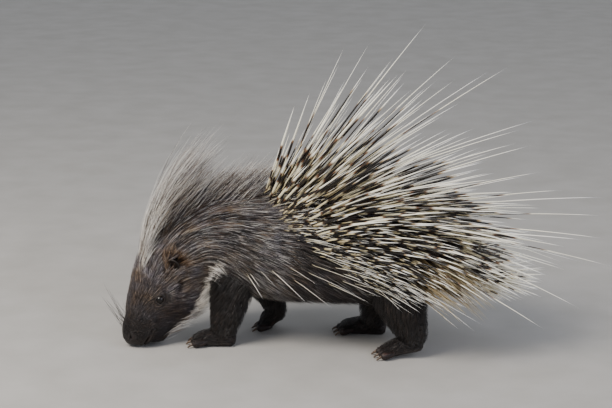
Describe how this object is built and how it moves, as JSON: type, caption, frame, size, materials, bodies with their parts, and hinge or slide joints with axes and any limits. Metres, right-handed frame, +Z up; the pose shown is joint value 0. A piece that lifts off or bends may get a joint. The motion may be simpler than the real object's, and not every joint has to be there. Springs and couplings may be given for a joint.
{
  "type": "crested porcupine, still life-size model",
  "caption": "A life-size crested porcupine walking with its head low, its quills raised over the back and rump and a crest of long pale bristles on its neck.",
  "frame": {"origin": "on the floor under the middle of the animal's outline seen from above", "axes": "+Z up, the animal faces -X and its left side faces -Y"},
  "size_m": [1.0029, 0.4638, 0.6361],
  "materials": {
    "dark_coat": "coarse dark brown bristly hair",
    "quills": "smooth cream quills banded with dark brown",
    "leg_coat": "short near-black hair, bare dark soles and toes",
    "eye": "wet black eyeball",
    "claw": "horn-brown claws"
  },
  "bodies": {
    "root": {"head": "dark_coat", "neck": "dark_coat", "torso": "quills", "tail": "quills", "leg_front_left": "leg_coat", "leg_front_right": "leg_coat", "leg_hind_left": "leg_coat", "leg_hind_right": "leg_coat", "ear_left": "dark_coat", "ear_right": "dark_coat", "eye_left": "eye", "eye_right": "eye"}
  },
  "joints": []
}
